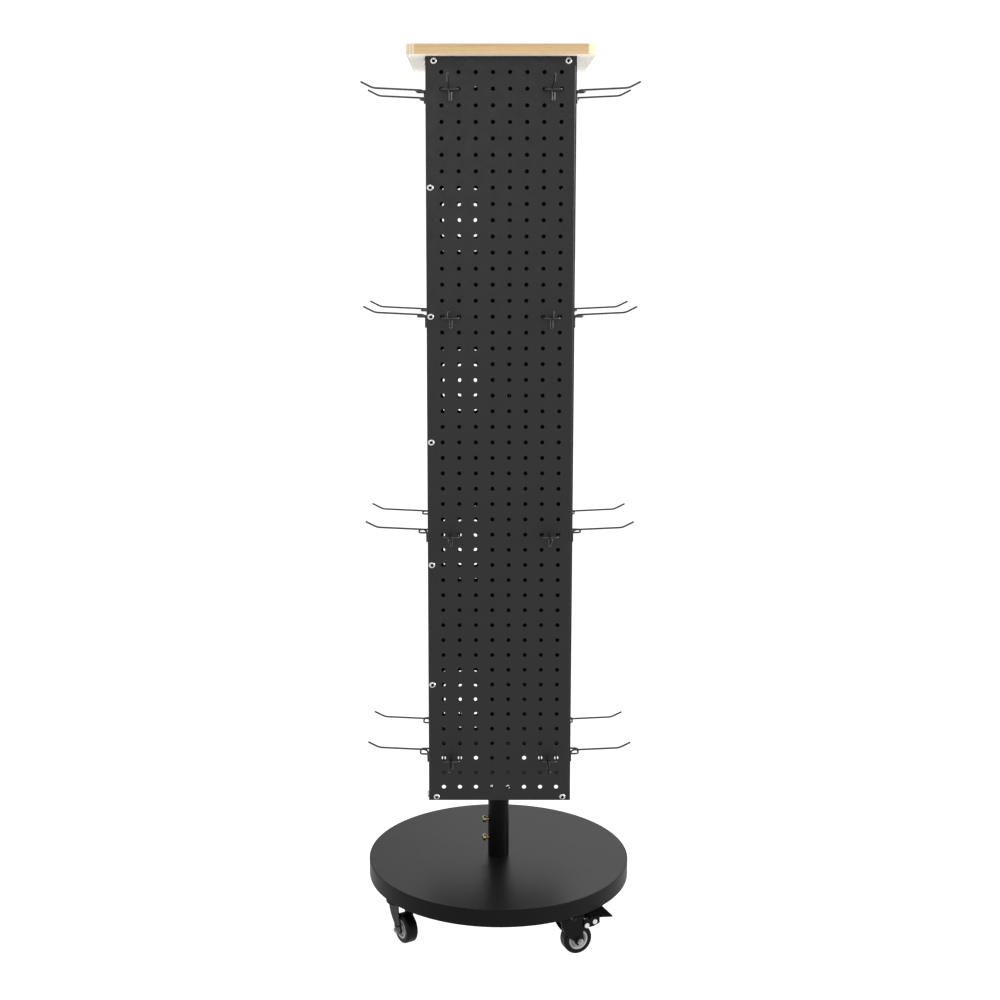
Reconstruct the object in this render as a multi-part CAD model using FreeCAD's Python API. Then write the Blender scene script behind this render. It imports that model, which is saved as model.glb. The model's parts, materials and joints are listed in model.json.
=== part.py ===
import FreeCAD, Part
import math
import os

# Rotating display rack: four perforated steel panels form a square column that carries wire hooks and a
# wooden top board. The column turns on a fixed spindle, which is clamped in a socket tube on a round
# base with four swivel casters, two of them with foot brakes.
# Units are millimetres. +Z is up, the front faces -Y, and the origin is on the floor under the spindle.

V = FreeCAD.Vector
X_AXIS = V(1, 0, 0)
Y_AXIS = V(0, 1, 0)
UP = V(0, 0, 1)

# ---------------------------------------------------------------- driving dimensions
# heights
CASTER_H = 70.0
DISC_T = 28.0
COLUMN_GAP = 137.0           # clear height from the base to the panels
DISC_TOP = CASTER_H + DISC_T
PANEL_BOT = DISC_TOP + COLUMN_GAP

# perforated panels
HALF = 112.0                 # half the outer width of the square column
SHEET = 1.2                  # panel sheet thickness
COLS, ROWS = 8, 47
COL_PITCH, ROW_PITCH = 25.4, 24.0
HOLE_R = 3.2
FIRST_COL_X = -88.1          # first hole column, seen from outside the panel
MARGIN_TOP, MARGIN_BOT = 23.0, 22.0
RAW_EDGE = 1.5               # the lapped edge stops this far short of the corner
BEND_R = 3.0                 # outer radius of the folded edge
FLANGE = 16.0                # how far the folded edge reaches back, from the panel's face
NOTCH = 13.5                 # the folded edge is cut away at the two end frames
TAB_H = 13.0                 # there the panel's face runs on flat to the corner
PANEL_TOP = PANEL_BOT + MARGIN_BOT + (ROWS - 1) * ROW_PITCH + MARGIN_TOP
ROW_ZERO_Z = PANEL_TOP - MARGIN_TOP

# panel screws
EDGE_SCREW_X = -105.3
EDGE_SCREW_ROWS = (7, 15, 23, 31, 39)
SCREWED_SIDES = (0, 2)       # the front and back panels; the other two are welded to them at their left edge
CORNER_SCREW_X = 99.5
CORNER_SCREW_IN_TOP, CORNER_SCREW_IN_BOT = 7.0, 6.0
SCREW_R, SCREW_HEAD_R, SCREW_HEAD_H = 2.45, 5.0, 3.0
SCREW_HOLE_R = 2.6

# top board
BOARD_W, BOARD_T, BOARD_R = 278.0, 15.0, 12.0
BAND_T = 1.0                 # edge banding
BOARD_TOP = PANEL_TOP + BOARD_T

# end frames: a square ring with four square-tube arms welded to a hub
RING_H, RING_T = 12.5, 3.0
ARM_W, ARM_WALL = 20.0, 1.5
HUB_R = 31.0
TOP_HUB_H, BOT_HUB_H = 26.0, 25.0
BOARD_SCREW_X = 75.0

# spindle, socket and bearings
SPINDLE_R, SPINDLE_BORE_R = 12.5, 10.0             # in the socket and in the upper bearing
SPINDLE_BODY_R, SPINDLE_BODY_BORE_R = 17.0, 14.5   # inside the column
SOCKET_R, SOCKET_BORE_R = 17.3, 12.8
SOCKET_FLANGE_R, SOCKET_FLANGE_T = 24.0, 3.0       # the socket's upper end, which carries the thrust bearing
SOCKET_TOP = DISC_TOP + 124.0
BASE_PLATE_W, BASE_PLATE_T = 110.0, 4.0
BALL_BEARING_R, BALL_BEARING_H = 26.0, 15.0
BEARING_SEAT_LIP = 4.0
THRUST_R, THRUST_WASHER_T = 24.0, 4.0
THRUST_PITCH_R, THRUST_BALL_R = 20.6, 2.7
BUSHING_R, BUSHING_BORE_R = 20.0, 17.1
CLAMP_HEIGHTS = (DISC_TOP + 30.0, DISC_TOP + 62.0)
CLAMP_AZIMUTH = 193.0        # the clamp screws point left and a little to the front

# round base
DISC_R = 215.0
DISC_BAND_T = 1.5

# wire hooks; u is the distance out from the panel's face
WIRE_R = 1.5
HOOK_ROWS = (1, 15, 29, 44)
HOOK_FIRST_COLS = (0, 6)     # the left one of the two holes that a hook sits in
LOOP_OUT = 14.0
LOOP_DROP = -1.6             # the loop rests on the lower edge of its holes
ARM_RISE = 0.5               # arm's centre over the row of holes, where it turns down into the leg
ARM_BEND_U, ARM_BEND_Z = 80.0, 4.2
ARM_TIP_U, ARM_TIP_Z = 97.0, 12.8
LEG_U, LEG_BOTTOM = 2.0, -18.0
LEG_GAP = 3.4                # spacing of the two strands of the leg

# casters; local X runs from the swivel axis towards the axle
CASTER_RING_R = 190.0
CASTERS = (                  # name, azimuth on the base, heading at rest, has a foot brake
    ("front_left", -147.5, -58.0, False),
    ("front_right", -57.5, 22.0, True),
    ("back_right", 32.5, 110.0, False),
    ("back_left", 122.5, 215.0, True),
)
TRAIL = 20.0
WHEEL_R, WHEEL_W = 24.0, 20.0
RIM_R = 16.0
AXLE_R = 3.0
CHEEK_IN, CHEEK_T = 11.5, 2.0
CHEEK_OUT = CHEEK_IN + CHEEK_T
AXLE_BOSS_R = 8.0            # the cheek's round lower end
CROWN_Z, CROWN_T = 62.0, 2.0
RACEWAY_R, RACEWAY_T = 22.0, 4.0
KINGPIN_R = 6.0
STEM_R, STEM_L = 5.0, 16.0
INSERT_R = 7.0
HINGE_X, HINGE_Z = TRAIL + 11.0, WHEEL_R + 25.0    # the brake pedal's hinge
CROSS_PIN = (14.0, 3.8)      # the pedal's cross pin, from its hinge
SHOE_FOOT = -6.0             # foot of the brake shoe under the hinge; it meets the tyre when pressed
EAR_IN, EAR_T = CHEEK_OUT + 0.8, 1.5
EAR_OUT = EAR_IN + EAR_T
TREAD_FLARE = 4.0            # the tread's end is this much wider on each side


# ---------------------------------------------------------------- helpers
def save(name, shape):
    """Write one sub-part; a list is a group of separate solids."""
    if isinstance(shape, list):
        shape = Part.makeCompound(shape)
    shape.exportStep("parts/" + name + ".step")


def turned(shape, degrees, centre=V(0, 0, 0), axis=UP):
    copy = shape.copy()
    copy.rotate(centre, axis, degrees)
    return copy


def moved(shape, x=0.0, y=0.0, z=0.0):
    copy = shape.copy()
    copy.translate(V(x, y, z))
    return copy


def block(x0, x1, y0, y1, z0, z1):
    return Part.makeBox(x1 - x0, y1 - y0, z1 - z0, V(x0, y0, z0))


def rod(radius, z0, z1, x=0.0, y=0.0):
    return Part.makeCylinder(radius, z1 - z0, V(x, y, z0))


def tube(outer, inner, z0, z1, x=0.0, y=0.0):
    return rod(outer, z0, z1, x, y).cut(rod(inner, z0 - 1, z1 + 1, x, y))


def cross_rod(radius, y0, y1, x, z):
    """A cylinder along Y."""
    return Part.makeCylinder(radius, y1 - y0, V(x, y0, z), Y_AXIS)


def rounded_slab(width, radius, z0, z1):
    """A square slab centred on the spindle, with rounded vertical corners."""
    half = width / 2
    slab = block(-half, half, -half, half, z0, z1)
    upright = [e for e in slab.Edges if abs(e.tangentAt(e.FirstParameter).z) > 0.9]
    return slab.makeFillet(radius, upright)


def plate_xz(wire, y0, y1):
    """A plate of the closed outline wire, drawn in the XZ plane."""
    face = Part.Face(wire)
    face.translate(V(0, y0, 0))
    return face.extrude(V(0, y1 - y0, 0))


def bent_wire(points, radii):
    """A path of straight runs joined by tangent arcs; radii belong to the inner points."""
    edges = []
    start = points[0]
    for before, corner, after, radius in zip(points, points[1:], points[2:], radii):
        into = (corner - before).normalize()
        out = (after - corner).normalize()
        half_turn = into.getAngle(out) / 2
        setback = radius * math.tan(half_turn)
        arc_in = corner - into * setback
        arc_out = corner + out * setback
        bulge = (out - into).normalize() * radius * (1 / math.cos(half_turn) - 1)
        edges.append(Part.LineSegment(start, arc_in).toShape())
        edges.append(Part.Arc(arc_in, corner + bulge, arc_out).toShape())
        start = arc_out
    edges.append(Part.LineSegment(start, points[-1]).toShape())
    return Part.Wire(edges)


def wire_rod(path, radius):
    """Round wire swept along a path of lines and arcs."""
    first = path.Edges[0]
    start = first.valueAt(first.FirstParameter)
    ring = Part.Wire(Part.makeCircle(radius, start, first.tangentAt(first.FirstParameter)))
    return path.makePipeShell([ring], True, False)


def hexagon(across, y0, y1, x, z):
    """A hexagonal prism along Y."""
    radius = across / math.sqrt(3)
    angles = [math.radians(60.0 * i) for i in range(7)]
    ring = Part.makePolygon([V(x + radius * math.cos(a), 0, z + radius * math.sin(a)) for a in angles])
    return plate_xz(ring, y0, y1)


def button_screw(length, radius=SCREW_R, head_r=SCREW_HEAD_R, head_h=SCREW_HEAD_H):
    """A hexagon-socket button-head screw: the head sits on z = 0 and the shank runs down."""
    head = rod(head_r, 0, head_h)
    crown = [e for e in head.Edges if e.BoundBox.ZMin > head_h - 0.01 and e.BoundBox.XLength > 1]
    head = head.makeFillet(head_h * 0.75, crown)
    socket = turned(hexagon(head_r * 0.7, head_h * 0.2, head_h + 1, 0, 0), 90.0, axis=X_AXIS)
    return head.cut(socket).fuse(rod(radius, -length, 0)).removeSplitter()


def on_face(shape, side):
    """Turn a shape made on the front face round to face number side: front, right, back, left."""
    return turned(shape, 90.0 * side)


def facing_front(shape, x, y, z):
    """Place a shape whose own +Z points out of the front face."""
    out = turned(shape, 90.0, axis=X_AXIS)
    return moved(out, x, y, z)


SIDES = ("front", "right", "back", "left")


def column_x(column):
    return FIRST_COL_X + column * COL_PITCH


def row_z(row):
    return ROW_ZERO_Z - row * ROW_PITCH


# ---------------------------------------------------------------- perforated panels
def panel(side):
    """A perforated sheet, drawn at the front: its right edge folds back behind its neighbour's left edge."""
    left, right = -HALF + RAW_EDGE, HALF - SHEET
    bend_x = right - BEND_R
    tab_low, tab_high = PANEL_BOT + TAB_H, PANEL_TOP - TAB_H
    corners = [V(x, 0, z) for x, z in (
        (left, PANEL_BOT), (HALF, PANEL_BOT), (HALF, tab_low), (bend_x, tab_low),
        (bend_x, tab_high), (HALF, tab_high), (HALF, PANEL_TOP), (left, PANEL_TOP))]
    outline = Part.makePolygon(corners + corners[:1])
    holes = []
    for row in range(ROWS):
        for column in range(COLS):
            holes.append(Part.Wire(Part.makeCircle(HOLE_R, V(column_x(column), 0, row_z(row)), Y_AXIS)))
    screw_spots = corner_screw_spots(side, PANEL_TOP - CORNER_SCREW_IN_TOP)
    screw_spots += corner_screw_spots(side, PANEL_BOT + CORNER_SCREW_IN_BOT)
    if side in SCREWED_SIDES:
        screw_spots += [(EDGE_SCREW_X, row_z(row)) for row in EDGE_SCREW_ROWS]
    for x, z in screw_spots:
        holes.append(Part.Wire(Part.makeCircle(SCREW_HOLE_R, V(x, 0, z), Y_AXIS)))
    face = Part.makeFace([outline] + holes, "Part::FaceMakerBullseye")
    face.translate(V(0, -HALF, 0))
    sheet = face.extrude(V(0, SHEET, 0))

    # the folded edge: a quarter bend and a flange, in plan, with holes for the neighbour's screws if it has any
    y_face, y_in = -HALF, -HALF + SHEET
    y_end = -HALF + FLANGE
    diagonal = math.sqrt(0.5)
    bend_y = y_face + BEND_R
    inner_r = BEND_R - SHEET
    fold = Part.Wire([
        Part.LineSegment(V(bend_x, y_in, 0), V(bend_x, y_face, 0)).toShape(),
        Part.Arc(V(bend_x, y_face, 0),
                 V(bend_x + BEND_R * diagonal, bend_y - BEND_R * diagonal, 0),
                 V(right, bend_y, 0)).toShape(),
        Part.LineSegment(V(right, bend_y, 0), V(right, y_end, 0)).toShape(),
        Part.LineSegment(V(right, y_end, 0), V(right - SHEET, y_end, 0)).toShape(),
        Part.LineSegment(V(right - SHEET, y_end, 0), V(right - SHEET, bend_y, 0)).toShape(),
        Part.Arc(V(right - SHEET, bend_y, 0),
                 V(bend_x + inner_r * diagonal, bend_y - inner_r * diagonal, 0),
                 V(bend_x, y_in, 0)).toShape(),
    ])
    fold = Part.Face(fold)
    fold.translate(V(0, 0, PANEL_BOT + NOTCH))
    fold = fold.extrude(V(0, 0, PANEL_TOP - PANEL_BOT - 2 * NOTCH))
    if side not in SCREWED_SIDES:
        for row in EDGE_SCREW_ROWS:
            centre = V(right - 2 * SHEET, EDGE_SCREW_X, row_z(row))
            fold = fold.cut(Part.makeCylinder(SCREW_HOLE_R, 3 * SHEET, centre, X_AXIS))
    return sheet.fuse(fold).removeSplitter()


def corner_screw_spots(side, z):
    """A screw at both corners of the front and back, and only by the folded edge on the other two sides."""
    places = (-CORNER_SCREW_X, CORNER_SCREW_X) if side in SCREWED_SIDES else (CORNER_SCREW_X,)
    return [(x, z) for x in places]


def make_panels():
    kinds = panel(0), panel(1)
    for side, name in enumerate(SIDES):
        save("panel_" + name, on_face(kinds[side % 2], side))


def make_panel_screws():
    """Edge screws with their nuts, and the corner screws that hold the panels to the end frames."""
    screw = button_screw(9.0)
    nut_h = 4.5
    nut = tube(3.5, SCREW_R + 0.05, 0, nut_h)
    nut_y = -HALF + 2 * SHEET + nut_h
    edge, nuts, top, bottom = [], [], [], []
    for side in SCREWED_SIDES:
        for row in EDGE_SCREW_ROWS:
            edge.append(on_face(facing_front(screw, EDGE_SCREW_X, -HALF, row_z(row)), side))
            nuts.append(on_face(facing_front(nut, EDGE_SCREW_X, nut_y, row_z(row)), side))
    for side in range(4):
        for x, z in corner_screw_spots(side, PANEL_TOP - CORNER_SCREW_IN_TOP):
            top.append(on_face(facing_front(screw, x, -HALF, z), side))
        for x, z in corner_screw_spots(side, PANEL_BOT + CORNER_SCREW_IN_BOT):
            bottom.append(on_face(facing_front(screw, x, -HALF, z), side))
    save("edge_screws", edge)
    save("edge_nuts", nuts)
    save("top_corner_screws", top)
    save("bottom_corner_screws", bottom)


# ---------------------------------------------------------------- end frames and top board
def end_frame(ring_z0, arm_z0, hub_z0, hub_z1, screw_z):
    """A square ring, four hollow arms and a solid hub, welded into one piece."""
    outer = HALF - SHEET
    inner = outer - RING_T
    ring = rounded_slab(2 * outer, 1.5, ring_z0, ring_z0 + RING_H)
    ring = ring.cut(block(-inner, inner, -inner, inner, ring_z0 - 1, ring_z0 + RING_H + 1))
    for side in range(4):
        for x, z in corner_screw_spots(side, screw_z):
            hole = Part.makeCylinder(SCREW_R + 0.05, 10.0, V(x, -HALF, z), Y_AXIS)
            ring = ring.cut(on_face(hole, side))
    half_arm = ARM_W / 2
    bore = half_arm - ARM_WALL
    arm = block(HUB_R - 3, inner, -half_arm, half_arm, arm_z0, arm_z0 + ARM_W)
    arm = arm.cut(block(0, inner - 0.01, -bore, bore, arm_z0 + ARM_WALL, arm_z0 + ARM_W - ARM_WALL))
    hub = rod(HUB_R, hub_z0, hub_z1)
    frame = ring.fuse([turned(arm, 90.0 * side) for side in range(4)])
    return frame.fuse(hub)


def make_frames():
    arm_z = PANEL_TOP - ARM_W
    hub_z = PANEL_TOP - TOP_HUB_H
    seat_z = hub_z + BEARING_SEAT_LIP
    top = end_frame(PANEL_TOP - RING_H, arm_z, hub_z, PANEL_TOP, PANEL_TOP - CORNER_SCREW_IN_TOP)
    top = top.cut(rod(BALL_BEARING_R, seat_z, PANEL_TOP + 1))
    top = top.cut(rod(BALL_BEARING_R - 5, hub_z - 1, seat_z + 1))
    for side in range(4):
        top = top.cut(turned(rod(SCREW_R + 0.15, arm_z - 1, PANEL_TOP + 1, BOARD_SCREW_X), 90.0 * side))
    save("top_frame", top.removeSplitter())

    bottom = end_frame(PANEL_BOT, PANEL_BOT, PANEL_BOT, PANEL_BOT + BOT_HUB_H,
                       PANEL_BOT + CORNER_SCREW_IN_BOT)
    bottom = bottom.cut(rod(BUSHING_R, PANEL_BOT - 1, PANEL_BOT + BOT_HUB_H + 1))
    save("bottom_frame", bottom.removeSplitter())


def make_top_board():
    core_w = BOARD_W - 2 * BAND_T
    core = rounded_slab(core_w, BOARD_R - BAND_T, PANEL_TOP, BOARD_TOP)
    whole = rounded_slab(BOARD_W, BOARD_R, PANEL_TOP, BOARD_TOP)
    pilot_depth = 11.0
    screws = []
    for side in range(4):
        core = core.cut(turned(rod(SCREW_R, PANEL_TOP - 1, PANEL_TOP + pilot_depth, BOARD_SCREW_X), 90.0 * side))
        screw = turned(button_screw(ARM_W + pilot_depth - 1), 180.0, axis=X_AXIS)
        screws.append(turned(moved(screw, BOARD_SCREW_X, 0, PANEL_TOP - ARM_W), 90.0 * side))
    band = whole.cut(rounded_slab(core_w, BOARD_R - BAND_T, PANEL_TOP - 1, BOARD_TOP + 1))
    save("top_board", core)
    save("top_board_edge_band", band)
    save("board_screws", screws)


# ---------------------------------------------------------------- spindle and bearings
def make_bearings():
    """A ball bearing at the top, a plain bushing and a thrust bearing at the bottom."""
    z0 = PANEL_TOP - TOP_HUB_H + BEARING_SEAT_LIP
    z1 = z0 + BALL_BEARING_H
    middle = (z0 + z1) / 2
    pitch_r, ball_r, groove = 19.25, 4.2, 4.5
    race = Part.makeTorus(pitch_r, groove, V(0, 0, middle))
    outer = tube(BALL_BEARING_R, 22.0, z0, z1).cut(race)
    inner = tube(16.5, SPINDLE_R + 0.02, z0, z1).cut(race)
    ball = Part.makeSphere(ball_r, V(pitch_r, 0, middle))
    save("upper_bearing_outer_race", outer)
    save("upper_bearing_inner_race", inner)
    save("upper_bearing_balls", [turned(ball, 40.0 * i) for i in range(9)])

    low = SOCKET_TOP
    high = PANEL_BOT - THRUST_WASHER_T
    groove_z = (low + THRUST_WASHER_T + high) / 2
    race = Part.makeTorus(THRUST_PITCH_R, THRUST_BALL_R + 0.3, V(0, 0, groove_z))
    bore = SPINDLE_BODY_R + 0.1
    lower = tube(THRUST_R, bore, low, low + THRUST_WASHER_T).cut(race)
    upper = tube(THRUST_R, bore, high, PANEL_BOT).cut(race)
    ball = Part.makeSphere(THRUST_BALL_R, V(THRUST_PITCH_R, 0, groove_z))
    save("thrust_washer_lower", lower)
    save("thrust_washer_upper", upper)
    save("thrust_balls", [turned(ball, 30.0 * i) for i in range(12)])
    save("lower_bushing", tube(BUSHING_R, BUSHING_BORE_R, PANEL_BOT, PANEL_BOT + BOT_HUB_H))


def make_spindle():
    """A stepped tube that stands on the socket's flange, and the screw and washer that keep the column on."""
    foot = CASTER_H - BASE_PLATE_T
    shoulder = PANEL_TOP - TOP_HUB_H + BEARING_SEAT_LIP
    top = shoulder + BALL_BEARING_H
    web, thread_r = 5.0, 4.0
    spindle = rod(SPINDLE_R, foot, top).fuse(rod(SPINDLE_BODY_R, SOCKET_TOP, shoulder))
    spindle = spindle.cut(rod(SPINDLE_BORE_R, foot - 1, SOCKET_TOP + web + 1))
    spindle = spindle.cut(rod(SPINDLE_BODY_BORE_R, SOCKET_TOP + web, shoulder - web))
    spindle = spindle.cut(rod(thread_r, shoulder - web - 1, top + 1))
    save("spindle", spindle.removeSplitter())
    washer_r, washer_t = 16.0, 1.5
    screw = button_screw(18.0, thread_r - 0.05, 7.5, 3.5)
    save("spindle_washer", tube(washer_r, thread_r + 0.2, top, top + washer_t))
    save("spindle_top_screw", moved(screw, 0, 0, top + washer_t))


# ---------------------------------------------------------------- round base
def make_base():
    core_r = DISC_R - DISC_BAND_T
    core = rod(core_r, CASTER_H, DISC_TOP).cut(rod(SOCKET_R + 0.05, CASTER_H - 1, DISC_TOP + 1))
    screw_depth, screw_at = 18.0, 42.0
    spots = [(x, y) for x in (-screw_at, screw_at) for y in (-screw_at, screw_at)]
    for x, y in spots:
        core = core.cut(rod(SCREW_R, CASTER_H - 1, CASTER_H + screw_depth, x, y))
    for _, azimuth, _, _ in CASTERS:
        hole = rod(INSERT_R, CASTER_H - 1, CASTER_H + STEM_L + 2, CASTER_RING_R)
        core = core.cut(turned(hole, azimuth))
    save("base_disc", core)

    band = tube(DISC_R, core_r, CASTER_H, DISC_TOP)
    rims = [e for e in band.Edges if abs(e.BoundBox.XMax - DISC_R) < 0.01 and e.BoundBox.ZLength < 0.01]
    save("base_edge_band", band.makeFillet(0.8, rims))

    half = BASE_PLATE_W / 2
    plate = block(-half, half, -half, half, CASTER_H - BASE_PLATE_T, CASTER_H)
    flange = rod(SOCKET_FLANGE_R, SOCKET_TOP - SOCKET_FLANGE_T, SOCKET_TOP)
    socket = plate.fuse([rod(SOCKET_R, CASTER_H - BASE_PLATE_T, SOCKET_TOP), flange])
    socket = socket.cut(rod(SOCKET_BORE_R, CASTER_H - BASE_PLATE_T - 1, SOCKET_TOP + 1))
    for x, y in spots:
        socket = socket.cut(rod(SCREW_R + 0.15, CASTER_H - 10, CASTER_H + 1, x, y))
    direction = V(1, 0, 0)
    for z in CLAMP_HEIGHTS:
        hole = Part.makeCylinder(3.05, SOCKET_R + 5, V(0, 0, z), direction)
        socket = socket.cut(turned(hole, CLAMP_AZIMUTH))
    save("base_socket", socket.removeSplitter())

    plate_screw = turned(button_screw(BASE_PLATE_T + screw_depth - 1), 180.0, axis=X_AXIS)
    save("base_plate_screws", [moved(plate_screw, x, y, CASTER_H - BASE_PLATE_T) for x, y in spots])

    # clamp screws: the tip touches the spindle and the head stands off the tube
    head_seat = 22.6
    clamp = button_screw(head_seat - SPINDLE_R, 3.0, 5.8, 4.6)
    clamp = moved(turned(clamp, 90.0, axis=Y_AXIS), head_seat)
    save("clamp_screws", [moved(turned(clamp, CLAMP_AZIMUTH), 0, 0, z) for z in CLAMP_HEIGHTS])


# ---------------------------------------------------------------- hooks
def hook():
    """One hook for the front face, at the origin: its arm points along -Y."""
    spread = COL_PITCH / 2
    back = -SHEET - 3.5
    turn_r = 3.0
    loop_points = [
        V(-spread, -back, LOOP_DROP + 9.0),
        V(-spread, -back, LOOP_DROP),
        V(-spread, -LOOP_OUT, LOOP_DROP),
        V(spread, -LOOP_OUT, LOOP_DROP),
        V(spread, -back, LOOP_DROP),
        V(spread, -back, LOOP_DROP + 9.0),
    ]
    loop = wire_rod(bent_wire(loop_points, [turn_r, 5.0, 5.0, turn_r]), WIRE_R)
    strand = LEG_GAP / 2
    arm_points = [
        V(-strand, -ARM_TIP_U, ARM_TIP_Z),
        V(-strand, -ARM_BEND_U, ARM_BEND_Z),
        V(-strand, -LEG_U, ARM_RISE),
        V(-strand, -LEG_U, LEG_BOTTOM),
        V(strand, -LEG_U, LEG_BOTTOM),
        V(strand, -LEG_U, LEG_BOTTOM + 13.0),
    ]
    u_turn = strand - 0.001
    arm = wire_rod(bent_wire(arm_points, [22.0, 7.0, u_turn, u_turn]), WIRE_R)
    tip = Part.makeSphere(WIRE_R, arm_points[0])
    return arm.fuse([loop, tip]).removeSplitter()


def make_hooks():
    one = hook()
    for side, side_name in enumerate(SIDES):
        for first, place in zip(HOOK_FIRST_COLS, ("left", "right")):
            x = column_x(first) + COL_PITCH / 2
            group = [on_face(moved(one, x, -HALF, row_z(row)), side) for row in HOOK_ROWS]
            save("hooks_%s_%s_column" % (side_name, place), group)


# ---------------------------------------------------------------- casters
def placed_caster(shape, azimuth, heading):
    """Carry a shape from the caster's local frame to its place on the base."""
    at = math.radians(azimuth)
    return moved(turned(shape, heading), CASTER_RING_R * math.cos(at), CASTER_RING_R * math.sin(at))


def caster_stem():
    """Threaded stem, flange and kingpin in one piece, with the riveted lower head."""
    flange_z = CASTER_H - 3.5
    stem = rod(STEM_R, CASTER_H - 1, CASTER_H + STEM_L)
    flange = rod(RACEWAY_R - 3, flange_z, CASTER_H)
    kingpin = rod(KINGPIN_R, CROWN_Z - 4, flange_z)
    head = rod(10.0, CROWN_Z - 6.5, CROWN_Z - 3.2)
    return stem.fuse([flange, kingpin, head]).removeSplitter()


def lines_xz(points):
    corners = [V(x, 0, z) for x, z in points]
    return [Part.LineSegment(a, b).toShape() for a, b in zip(corners, corners[1:])]


def arc_xz(start, middle, end):
    return Part.Arc(*[V(x, 0, z) for x, z in (start, middle, end)]).toShape()


def cheek_outline(braked):
    """Side view of a fork cheek: it sweeps forward from under the crown to the boss round the axle. A braked
    one also has a lobe for the pedal's hinge pin."""
    top = CROWN_Z + CROWN_T
    boss_back, boss_front = (TRAIL - AXLE_BOSS_R, WHEEL_R), (TRAIL + AXLE_BOSS_R, WHEEL_R)
    back, front = (TRAIL - 31.0, 52.0), (TRAIL - 2.0, 58.0)
    edges = [arc_xz(boss_back, (TRAIL - 22.0, 36.0), back)]
    if braked:
        edges += lines_xz([back, (back[0], top), (TRAIL + 2.0, top), (HINGE_X + 1.0, HINGE_Z + 6.0),
                           (HINGE_X + 5.0, HINGE_Z), (HINGE_X + 1.0, HINGE_Z - 5.5), (TRAIL + 8.0, 42.5),
                           (TRAIL + 6.5, 36.0), boss_front])
    else:
        edges += lines_xz([back, (back[0], top), (front[0], top), front])
        edges.append(arc_xz(front, (TRAIL + 1.5, 40.0), boss_front))
    edges.append(arc_xz(boss_front, (TRAIL, WHEEL_R - AXLE_BOSS_R), boss_back))
    return Part.Wire(edges)


def caster_fork(braked):
    near = plate_xz(cheek_outline(braked), -CHEEK_OUT, -CHEEK_IN)
    far = plate_xz(cheek_outline(braked), CHEEK_IN, CHEEK_OUT)
    crown = block(TRAIL - 31.0, TRAIL - 2.0, -CHEEK_OUT, CHEEK_OUT, CROWN_Z, CROWN_Z + CROWN_T)
    raceway = rod(RACEWAY_R, CROWN_Z, CROWN_Z + RACEWAY_T)
    fork = near.fuse([far, crown, raceway])
    fork = fork.cut(rod(KINGPIN_R + 0.1, CROWN_Z - 2, CROWN_Z + 8))
    fork = fork.cut(cross_rod(AXLE_R, -CHEEK_OUT - 1, CHEEK_OUT + 1, TRAIL, WHEEL_R))
    if braked:
        fork = fork.cut(cross_rod(2.5, -CHEEK_OUT - 1, CHEEK_OUT + 1, HINGE_X, HINGE_Z))
    return fork.removeSplitter()


def caster_axle():
    """Axle bolt with its head on one cheek and its nut on the other."""
    bolt = cross_rod(AXLE_R, -CHEEK_OUT - 8.0, CHEEK_OUT, TRAIL, WHEEL_R)
    head = hexagon(9.0, CHEEK_OUT, CHEEK_OUT + 3.5, TRAIL, WHEEL_R)
    nut = hexagon(9.5, -CHEEK_OUT - 6.0, -CHEEK_OUT, TRAIL, WHEEL_R)
    return bolt.fuse([head, nut]).removeSplitter()


def ring_about_axle(profile):
    """Revolve a closed (radius, y) profile about the wheel's axle."""
    points = [V(TRAIL + r, y, WHEEL_R) for r, y in profile]
    face = Part.Face(Part.makePolygon(points + points[:1]))
    return face.revolve(V(TRAIL, 0, WHEEL_R), Y_AXIS, 360)


def caster_tyre():
    half = WHEEL_W / 2
    tyre = ring_about_axle([(RIM_R, -half), (WHEEL_R, -half), (WHEEL_R, half), (RIM_R, half)])
    shoulders = [e for e in tyre.Edges if abs(e.BoundBox.ZMin) < 0.01 and e.BoundBox.XLength > 1]
    return tyre.makeFillet(4.0, shoulders)


def caster_rim():
    """Moulded core: a raised ring, a dished web and a hub that runs on the axle."""
    half = WHEEL_W / 2
    web, hub_r, hub_half, bore = 6.0, 6.5, CHEEK_IN - 0.4, AXLE_R + 0.08
    side = [(bore, hub_half), (hub_r, hub_half), (hub_r, web), (11.5, web), (13.0, half - 0.5), (RIM_R, half - 0.5)]
    mirror = [(r, -y) for r, y in reversed(side)]
    return ring_about_axle(side + mirror)


def brake_pin(reach, x, z):
    """A pin across the caster with a round head at each end."""
    pin = cross_rod(2.5, -reach, reach, x, z)
    heads = [cross_rod(4.0, -reach - 1.8, -reach, x, z), cross_rod(4.0, reach, reach + 1.8, x, z)]
    return pin.fuse(heads).removeSplitter()


def from_hinge(points):
    """A closed outline in the XZ plane, its points measured from the pedal's hinge."""
    corners = [V(HINGE_X + x, 0, HINGE_Z + z) for x, z in points]
    return Part.makePolygon(corners + corners[:1])


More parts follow.
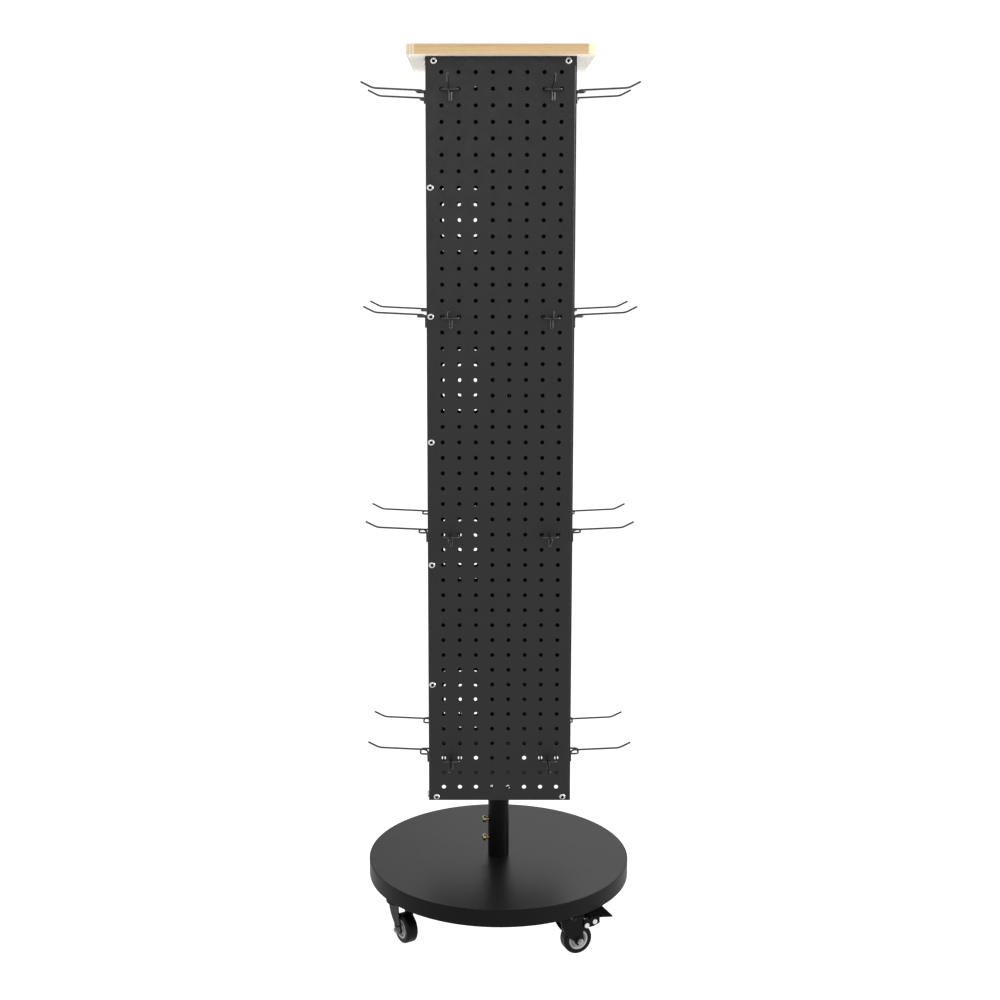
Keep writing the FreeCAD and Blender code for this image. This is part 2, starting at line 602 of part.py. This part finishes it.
def brake_pedal():
    """A folded plate: two ears on the hinge pin, a flared tread, and a shoe over the tyre."""
    ear = from_hinge(((-4.5, -3.5), (-4.5, 8.5), (23.0, 10.2), (23.0, 0.0), (12.5, -4.0), (3.0, -4.5)))
    ears = [plate_xz(ear, -EAR_OUT, -EAR_IN), plate_xz(ear, EAR_IN, EAR_OUT)]
    tread_back, tread_end, flare_back = 7.0, 43.8, 25.0
    tread = plate_xz(from_hinge(((tread_back, 11.2), (tread_end - 0.5, 10.4), (tread_end, 7.8),
                                 (flare_back + 6.0, 8.4), (tread_back, 9.2))), -EAR_OUT, EAR_OUT)
    wide = EAR_OUT + TREAD_FLARE
    plan = [V(HINGE_X + x, y, HINGE_Z) for x, y in
            ((flare_back, -EAR_OUT), (tread_end, -wide), (tread_end, wide), (flare_back, EAR_OUT))]
    wing = Part.Face(Part.makePolygon(plan + plan[:1])).extrude(V(0, 0, 20))
    flare = plate_xz(from_hinge(((flare_back, 10.8), (tread_end - 0.5, 10.4), (tread_end, 7.8),
                                 (flare_back, 8.6))), -wide, wide).common(wing)
    shoe = plate_xz(from_hinge(((tread_back, 10.0), (tread_back + 6.0, 10.0), (9.4, SHOE_FOOT),
                                (7.4, SHOE_FOOT))), -7.0, 7.0)
    pedal = ears[0].fuse([ears[1], tread, flare, shoe])
    pedal = pedal.cut(cross_rod(2.6, -30, 30, HINGE_X, HINGE_Z))
    pedal = pedal.cut(cross_rod(2.5, -30, 30, HINGE_X + CROSS_PIN[0], HINGE_Z + CROSS_PIN[1]))
    return pedal.removeSplitter()


def make_casters():
    insert = tube(INSERT_R, STEM_R + 0.05, CASTER_H, CASTER_H + STEM_L + 2)
    stems, inserts = [], []
    for name, azimuth, heading, braked in CASTERS:
        stems.append(placed_caster(caster_stem(), azimuth, heading))
        inserts.append(placed_caster(insert, azimuth, heading))
        pieces = {"fork": caster_fork(braked), "axle": caster_axle(), "rim": caster_rim(), "tyre": caster_tyre()}
        if braked:
            pieces["brake_pedal"] = brake_pedal()
            pieces["brake_pivot_pin"] = brake_pin(EAR_OUT + 0.3, HINGE_X, HINGE_Z)
            pieces["brake_cross_pin"] = brake_pin(EAR_OUT, HINGE_X + CROSS_PIN[0], HINGE_Z + CROSS_PIN[1])
        for part, shape in pieces.items():
            save(name + "_" + part, placed_caster(shape, azimuth, heading))
    save("caster_stems", stems)
    save("caster_inserts", inserts)


os.makedirs("parts", exist_ok=True)
make_base()
make_spindle()
make_bearings()
make_frames()
make_panels()
make_panel_screws()
make_top_board()
make_hooks()
make_casters()
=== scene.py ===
import json
import math

import bmesh
import bpy
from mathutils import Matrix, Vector


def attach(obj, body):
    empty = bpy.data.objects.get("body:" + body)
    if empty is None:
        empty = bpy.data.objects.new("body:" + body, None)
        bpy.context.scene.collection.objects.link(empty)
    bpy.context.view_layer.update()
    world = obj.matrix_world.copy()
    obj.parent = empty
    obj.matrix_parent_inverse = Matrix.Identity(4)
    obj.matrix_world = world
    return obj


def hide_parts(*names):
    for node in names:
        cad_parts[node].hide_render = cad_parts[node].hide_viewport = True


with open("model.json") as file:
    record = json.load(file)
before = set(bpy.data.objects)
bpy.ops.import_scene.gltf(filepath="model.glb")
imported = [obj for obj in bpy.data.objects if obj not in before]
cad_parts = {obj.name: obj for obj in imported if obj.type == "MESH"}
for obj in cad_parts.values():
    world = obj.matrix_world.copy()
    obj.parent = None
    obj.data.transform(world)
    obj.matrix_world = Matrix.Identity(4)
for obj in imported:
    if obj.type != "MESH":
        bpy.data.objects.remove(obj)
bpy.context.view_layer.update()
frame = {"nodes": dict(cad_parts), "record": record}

# Looks of the rotating display rack. Metres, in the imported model's own frame: +Z up, the front faces -Y.
NODES = frame["nodes"]
MM = 0.001
BAND_CORNER_FROM = 128 * MM   # the board's edge band starts to bend this far from the board's middle
# painted shade: socket faces within this reach of a screw's axis are coloured dark for the shadow in the
# hollow
SOCKET_SHADE_REACH = 1.95 * MM      # the faces of a screw's socket lie nearer to its axis than this
FLOOR_RADIUS = 40.0
PANEL_SCREWS = ("edge_screws", "top_corner_screws", "bottom_corner_screws")


# ---------------------------------------------------------------- material helpers
def new_material(name, colour, roughness, metallic=0.0, specular=0.5):
    """A node material: its Principled shader has the plain values, and its maker adds the pattern."""
    mat = bpy.data.materials.new(name)
    mat.use_nodes = True
    shader = mat.node_tree.nodes["Principled BSDF"]
    shader.inputs["Base Color"].default_value = (*colour, 1)
    shader.inputs["Roughness"].default_value = roughness
    shader.inputs["Metallic"].default_value = metallic
    shader.inputs["Specular IOR Level"].default_value = specular
    return mat, shader


def add(mat, kind, **settings):
    made = mat.node_tree.nodes.new("ShaderNode" + kind)
    for key, value in settings.items():
        setattr(made, key, value)
    return made


def join(mat, source, target):
    mat.node_tree.links.new(source, target)


def scaled(mat, vector, scale):
    mapping = add(mat, "Mapping")
    mapping.inputs["Scale"].default_value = scale
    join(mat, vector, mapping.inputs["Vector"])
    return mapping.outputs["Vector"]


def place(mat, scale=(1, 1, 1)):
    """The piece's own coordinates in metres, stretched by scale."""
    return scaled(mat, add(mat, "TexCoord").outputs["Object"], scale)


def noise(mat, vector, scale, detail=3.0, roughness=0.5):
    texture = add(mat, "TexNoise")
    texture.inputs["Scale"].default_value = scale
    texture.inputs["Detail"].default_value = detail
    texture.inputs["Roughness"].default_value = roughness
    join(mat, vector, texture.inputs["Vector"])
    return texture.outputs["Fac"]


def remap(mat, value, low, high, to_low, to_high):
    """Value from low..high to to_low..to_high, held at the ends."""
    made = add(mat, "MapRange")
    for socket, number in zip(("From Min", "From Max", "To Min", "To Max"), (low, high, to_low, to_high)):
        made.inputs[socket].default_value = number
    join(mat, value, made.inputs["Value"])
    return made.outputs["Result"]


def blend_colours(mat, factor, first, second):
    """First where factor is 0, second where it is 1; each is a colour or an output."""
    mix = add(mat, "Mix", data_type="RGBA")
    join(mat, factor, mix.inputs["Factor"])
    for socket, colour in (("A", first), ("B", second)):
        target = [s for s in mix.inputs if s.name == socket and s.type == "RGBA"][0]
        if isinstance(colour, tuple):
            target.default_value = (*colour, 1)
        else:
            join(mat, colour, target)
    return [s for s in mix.outputs if s.type == "RGBA"][0]


def bump(mat, shader, height, distance, strength=1.0):
    made = add(mat, "Bump")
    made.inputs["Distance"].default_value = distance
    made.inputs["Strength"].default_value = strength
    join(mat, height, made.inputs["Height"])
    join(mat, made.outputs["Normal"], shader.inputs["Normal"])


def shades(colour, low, high):
    return tuple(c * low for c in colour), tuple(c * high for c in colour)


# ---------------------------------------------------------------- materials
def powder_coat(name, colour, roughness, specular, grain=900.0, grain_height=0.06 * MM):
    """Powder coat: faint clouds of tone, uneven sheen, and a fine orange-peel skin."""
    mat, shader = new_material(name, colour, roughness, specular=specular)
    spot = place(mat)
    clouds = remap(mat, noise(mat, spot, 9.0, 4.0), 0.35, 0.65, 0.0, 1.0)
    join(mat, blend_colours(mat, clouds, *shades(colour, 0.93, 1.07)), shader.inputs["Base Color"])
    sheen = remap(mat, noise(mat, spot, 55.0, 3.0), 0.3, 0.7, roughness - 0.05, roughness + 0.05)
    join(mat, sheen, shader.inputs["Roughness"])
    bump(mat, shader, noise(mat, spot, grain, 2.0), grain_height, 0.5)
    return mat


def laminate(name, colour, roughness, specular):
    """Matte black laminate: a very faint pressed wood grain along X and a fine pebbled skin."""
    mat, shader = new_material(name, colour, roughness, specular=specular)
    streaks = noise(mat, place(mat, (5.0, 150.0, 150.0)), 1.0, 5.0, 0.6)
    pores = noise(mat, place(mat, (60.0, 1400.0, 1400.0)), 1.0, 2.0)
    tone = remap(mat, streaks, 0.35, 0.65, 0.0, 1.0)
    join(mat, blend_colours(mat, tone, *shades(colour, 0.95, 1.05)), shader.inputs["Base Color"])
    join(mat, remap(mat, streaks, 0.3, 0.7, roughness - 0.012, roughness + 0.012), shader.inputs["Roughness"])
    bump(mat, shader, pores, 0.05 * MM, 0.35)
    return mat


def plated(name, colour, roughness, tint=0.12):
    """Plated metal: cloudy roughness, a slight tarnish and fine turning marks."""
    mat, shader = new_material(name, colour, roughness, metallic=1.0)
    spot = place(mat)
    cloud = noise(mat, spot, 130.0, 4.0)
    join(mat, blend_colours(mat, remap(mat, cloud, 0.35, 0.65, 0.0, 1.0), *shades(colour, 1 - tint, 1.0)),
         shader.inputs["Base Color"])
    join(mat, remap(mat, cloud, 0.3, 0.7, roughness - 0.07, roughness + 0.1), shader.inputs["Roughness"])
    bump(mat, shader, noise(mat, place(mat, (400.0, 400.0, 2600.0)), 1.0, 2.0), 0.02 * MM, 0.4)
    return mat


def moulded(name, colour, roughness, specular=0.4, grain=1500.0):
    """Moulded plastic or polyurethane: fine spark-eroded grain and uneven sheen."""
    mat, shader = new_material(name, colour, roughness, specular=specular)
    spot = place(mat)
    cloud = remap(mat, noise(mat, spot, 60.0, 4.0), 0.35, 0.65, 0.0, 1.0)
    join(mat, blend_colours(mat, cloud, *shades(colour, 0.9, 1.1)), shader.inputs["Base Color"])
    join(mat, remap(mat, noise(mat, spot, 90.0), 0.3, 0.7, roughness - 0.06, roughness + 0.08),
         shader.inputs["Roughness"])
    bump(mat, shader, noise(mat, spot, grain, 2.0), 0.03 * MM, 0.4)
    return mat


OAK_LIGHT = (0.51, 0.36, 0.19)
OAK_MID = (0.43, 0.29, 0.14)
OAK_DARK = (0.28, 0.18, 0.08)
BOARD_CREAM = (0.79, 0.69, 0.57)
BOARD_UNDERSIDE = (0.95, 0.89, 0.80)


def grain_direction(mat):
    """Coordinates whose X runs along the grain: along X on top and on the front and back edges, along Y on
    the left and right edges, which the edge band covers."""
    coords = add(mat, "TexCoord")
    turn = add(mat, "Mapping")
    turn.inputs["Rotation"].default_value = (0, 0, math.radians(90))
    join(mat, coords.outputs["Object"], turn.inputs["Vector"])
    normal = add(mat, "SeparateXYZ")
    join(mat, coords.outputs["Normal"], normal.inputs["Vector"])
    size = add(mat, "Math", operation="ABSOLUTE")
    join(mat, normal.outputs["X"], size.inputs[0])
    on_side = add(mat, "Math", operation="GREATER_THAN")
    on_side.inputs[1].default_value = 0.75
    join(mat, size.outputs[0], on_side.inputs[0])
    pick = add(mat, "Mix", data_type="VECTOR")
    join(mat, on_side.outputs[0], pick.inputs["Factor"])
    ends = [s for s in pick.inputs if s.type == "VECTOR" and s.name in "AB"]
    join(mat, coords.outputs["Object"], ends[0])
    join(mat, turn.outputs["Vector"], ends[1])
    return [s for s in pick.outputs if s.type == "VECTOR"][0], normal


def oak(name, roughness, corner_from=None):
    """Oak: broad wavy figure, narrow growth lines and short dark pores along the grain. The underside is
    plain cream. With corner_from, the edge turns pale where it bends round the board's corners."""
    mat, shader = new_material(name, OAK_MID, roughness, specular=0.35)
    grain, normal = grain_direction(mat)
    figure = noise(mat, scaled(mat, grain, (2.2, 26.0, 60.0)), 1.0, 4.0, 0.55)
    lines = noise(mat, scaled(mat, grain, (6.0, 260.0, 420.0)), 1.0, 4.0, 0.65)
    pores = noise(mat, scaled(mat, grain, (70.0, 1500.0, 1700.0)), 1.0, 2.0)
    colour = blend_colours(mat, remap(mat, figure, 0.32, 0.68, 0.0, 1.0), OAK_LIGHT, OAK_MID)
    colour = blend_colours(mat, remap(mat, lines, 0.52, 0.78, 0.0, 0.6), colour, OAK_DARK)
    colour = blend_colours(mat, remap(mat, pores, 0.6, 0.72, 0.0, 0.5), colour, OAK_DARK)
    if corner_from:
        colour = pale_corners(mat, colour, corner_from)
    down = remap(mat, normal.outputs["Z"], -0.7, -0.8, 0.0, 1.0)
    colour = blend_colours(mat, down, colour, BOARD_UNDERSIDE)
    join(mat, colour, shader.inputs["Base Color"])
    join(mat, remap(mat, lines, 0.3, 0.7, roughness - 0.06, roughness + 0.08), shader.inputs["Roughness"])
    bump(mat, shader, pores, 0.05 * MM, 0.5)
    return mat


def pale_corners(mat, colour, corner_from):
    """Edge band pressed round a corner: cream, with fine upright stress stripes."""
    where = add(mat, "SeparateXYZ")
    join(mat, add(mat, "TexCoord").outputs["Object"], where.inputs["Vector"])
    nearer = add(mat, "Math", operation="MINIMUM")
    for index, axis in enumerate("XY"):
        size = add(mat, "Math", operation="ABSOLUTE")
        join(mat, where.outputs[axis], size.inputs[0])
        join(mat, size.outputs[0], nearer.inputs[index])
    bend = remap(mat, nearer.outputs[0], corner_from - 2 * MM, corner_from + 1 * MM, 0.0, 0.75)
    stripes = noise(mat, place(mat, (520.0, 520.0, 12.0)), 1.0, 2.0)
    striped = blend_colours(mat, remap(mat, stripes, 0.4, 0.62, 0.0, 1.0), BOARD_CREAM, OAK_LIGHT)
    return blend_colours(mat, bend, colour, striped)


def make_materials():
    return {
        "panel": powder_coat("panel powder coat", (0.0030, 0.0031, 0.0033), 0.46, 0.31),
        "hook": powder_coat("hook powder coat", (0.004, 0.004, 0.0044), 0.34, 0.6, 1400.0, 0.006 * MM),
        "laminate": laminate("black laminate", (0.0036, 0.0037, 0.0039), 0.37, 0.125),
        "base_edge": laminate("black edge band", (0.0028, 0.0029, 0.0031), 0.44, 0.08),
        "socket": powder_coat("socket powder coat", (0.0016, 0.0016, 0.0017), 0.42, 0.09, 1000.0),
        "zinc": plated("zinc plate", (0.60, 0.60, 0.60), 0.3),
        "dark_steel": plated("oiled dark steel", (0.012, 0.012, 0.012), 0.5),
        "dull_zinc": plated("dull zinc plate", (0.30, 0.30, 0.31), 0.36),
        # painted shade: a near-black material that stands for the shadow inside the screw sockets
        "painted_socket_shade": powder_coat("painted shade in a screw socket", (0.012, 0.012, 0.012), 0.7, 0.1),
        "brass": plated("yellow zinc plate", (0.42, 0.31, 0.16), 0.3, 0.25),
        "oak": oak("oak laminate", 0.48),
        "oak_edge": oak("oak edge band", 0.46, BAND_CORNER_FROM),
        "caster": powder_coat("caster gloss black", (0.0018, 0.0018, 0.0020), 0.26, 0.09, 700.0, 0.02 * MM),
        "tyre": moulded("tyre", (0.0020, 0.0020, 0.0021), 0.42, 0.10, 900.0),
        "rim": moulded("rim", (0.25, 0.25, 0.245), 0.42, 0.35),
        "nylon": moulded("nylon", (0.75, 0.75, 0.72), 0.5),
    }


def finish_of(name):
    """Which material a CAD node takes."""
    if name.startswith("panel_") or name.endswith("_frame"):
        return "panel"
    if name.startswith("hooks_"):
        return "hook"
    if name.endswith("_fork") or name.endswith("_brake_pedal"):
        return "caster"
    if name.endswith("_tyre"):
        return "tyre"
    if name.endswith("_rim"):
        return "rim"
    if name.endswith("_axle"):
        return "dull_zinc"
    named = {"base_disc": "laminate", "base_edge_band": "base_edge", "base_socket": "socket",
             "clamp_screws": "brass", "top_board": "oak", "top_board_edge_band": "oak_edge",
             "lower_bushing": "nylon", "spindle": "dark_steel"}
    return named.get(name, "zinc")


# ---------------------------------------------------------------- rounded copies of CAD nodes
def rounded_copy(name, radius, segments=2, angle=35.0):
    """The CAD node with its sharp edges rounded: a new piece that stands for it."""
    mesh = bmesh.new()
    mesh.from_mesh(NODES[name].data)
    bmesh.ops.remove_doubles(mesh, verts=mesh.verts, dist=2e-6)
    flat = math.radians(1.0)
    bmesh.ops.dissolve_limit(mesh, angle_limit=flat, verts=mesh.verts, edges=mesh.edges)
    sharp = [e for e in mesh.edges if len(e.link_faces) == 2 and e.calc_face_angle(0) > math.radians(angle)]
    bmesh.ops.bevel(mesh, geom=sharp, offset=radius, offset_type="OFFSET", segments=segments, profile=0.5,
                    affect="EDGES", clamp_overlap=True)
    data = bpy.data.meshes.new(name + "_rounded")
    mesh.to_mesh(data)
    mesh.free()
    data.shade_smooth()
    data.set_sharp_from_angle(angle=math.radians(angle))
    piece = bpy.data.objects.new(name + "_rounded", data)
    bpy.context.scene.collection.objects.link(piece)
    steady = piece.modifiers.new("normals", "WEIGHTED_NORMAL")
    steady.keep_sharp = True
    return piece


def solids_of(mesh):
    """The separate solids of a welded mesh, each a list of faces."""
    left = set(mesh.faces)
    while left:
        solid = [left.pop()]
        for face in solid:
            for edge in face.edges:
                for other in edge.link_faces:
                    if other in left:
                        left.remove(other)
                        solid.append(other)
        yield solid


def paint_socket_shade(piece, surface_material):
    """The hexagon socket in each screw's head takes painted shade: a dark material on the faces near the axis
    stands for the shadow in the hollow. The screws point outwards.
    """
    piece.data.materials.append(surface_material)
    mesh = bmesh.new()
    mesh.from_mesh(piece.data)
    for solid in solids_of(mesh):
        middles = [face.calc_center_median() for face in solid]
        low = [min(middle[axis] for middle in middles) for axis in range(3)]
        high = [max(middle[axis] for middle in middles) for axis in range(3)]
        centre = Vector((a + b) / 2 for a, b in zip(low, high))
        outwards = 0 if abs(centre.x) > abs(centre.y) else 1
        for face, middle in zip(solid, middles):
            aside = middle - centre
            aside[outwards] = 0.0
            if aside.length < SOCKET_SHADE_REACH:
                face.material_index = 1
    mesh.to_mesh(piece.data)
    mesh.free()


def body_of(node):
    for body, members in frame["record"]["behaviour"]["bodies"].items():
        if node in members:
            return body
    raise KeyError(node)


# ---------------------------------------------------------------- stage, light and camera
def make_stage():
    """A large floor that glows an even white, so the rack stands on it without a shadow."""
    mesh = bmesh.new()
    bmesh.ops.create_circle(mesh, cap_ends=True, segments=96, radius=FLOOR_RADIUS)
    data = bpy.data.meshes.new("floor")
    mesh.to_mesh(data)
    mesh.free()
    floor = bpy.data.objects.new("floor", data)
    bpy.context.scene.collection.objects.link(floor)
    mat, shader = new_material("white floor", (0, 0, 0), 1.0, specular=0.0)
    shader.inputs["Emission Color"].default_value = (1, 1, 1, 1)
    shader.inputs["Emission Strength"].default_value = 1.25
    data.materials.append(mat)


def area_light(name, place_at, aim, size, watts):
    data = bpy.data.lights.new(name, "AREA")
    data.size = size
    data.energy = watts
    light = bpy.data.objects.new(name, data)
    light.location = place_at
    light.rotation_euler = (Vector(aim) - Vector(place_at)).to_track_quat("-Z", "Y").to_euler()
    bpy.context.scene.collection.objects.link(light)


def make_lights():
    world = bpy.data.worlds.new("studio")
    world.use_nodes = True
    world.node_tree.nodes["Background"].inputs["Color"].default_value = (1, 1, 1, 1)
    world.node_tree.nodes["Background"].inputs["Strength"].default_value = 1.1
    bpy.context.scene.world = world
    middle = (0, 0, 0.8)
    area_light("key", (-0.6, -3.2, 1.7), middle, 1.2, 14)
    area_light("fill", (3.2, -0.7, 1.6), middle, 1.0, 130)
    area_light("back", (0.6, 2.8, 2.6), middle, 1.8, 22)


def make_camera():
    """Stands a little left of the rack's axis, just above half its height, and looks slightly down."""
    data = bpy.data.cameras.new("camera")
    data.lens = 54.8
    data.sensor_width = 36.0
    data.shift_x = 0.021
    data.shift_y = -0.046
    camera = bpy.data.objects.new("camera", data)
    camera.location = (-0.0325, -2.416, 1.149)
    camera.rotation_euler = (math.radians(90 - 8.83), 0, 0)
    bpy.context.scene.collection.objects.link(camera)
    bpy.context.scene.camera = camera


# ---------------------------------------------------------------- the build
EDGE_RADIUS = {               # of the copies that stand for these nodes, in metres
    "top_board": 0.6 * MM,
    "top_board_edge_band": 0.35 * MM,
    "base_socket": 0.3 * MM,
    "clamp_screws": 0.25 * MM,
    "edge_screws": 0.12 * MM,
    "top_corner_screws": 0.12 * MM,
    "bottom_corner_screws": 0.12 * MM,
}


def edge_radius(name):
    """How much a node's sharp edges are rounded; None leaves the CAD node as it is."""
    if name.endswith(("_fork", "_brake_pedal")):
        return 0.35 * MM
    if name.startswith("hooks_"):
        return 0.15 * MM
    return EDGE_RADIUS.get(name)


def dress_frame(materials):
    """Gives every CAD node its material, and swaps in a rounded copy where its edges show."""
    for name, cad in NODES.items():
        surface_material = materials[finish_of(name)]
        cad.data.materials.clear()
        cad.data.materials.append(surface_material)
        radius = edge_radius(name)
        if radius:
            piece = rounded_copy(name, radius)
            piece.data.materials.append(surface_material)
            # the panel screws' sockets get a painted shade
            if name in PANEL_SCREWS:
                paint_socket_shade(piece, materials["painted_socket_shade"])
            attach(piece, body_of(name))
            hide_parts(name)


bpy.context.scene.view_settings.view_transform = "Standard"
make_camera()
make_lights()
make_stage()
dress_frame(make_materials())
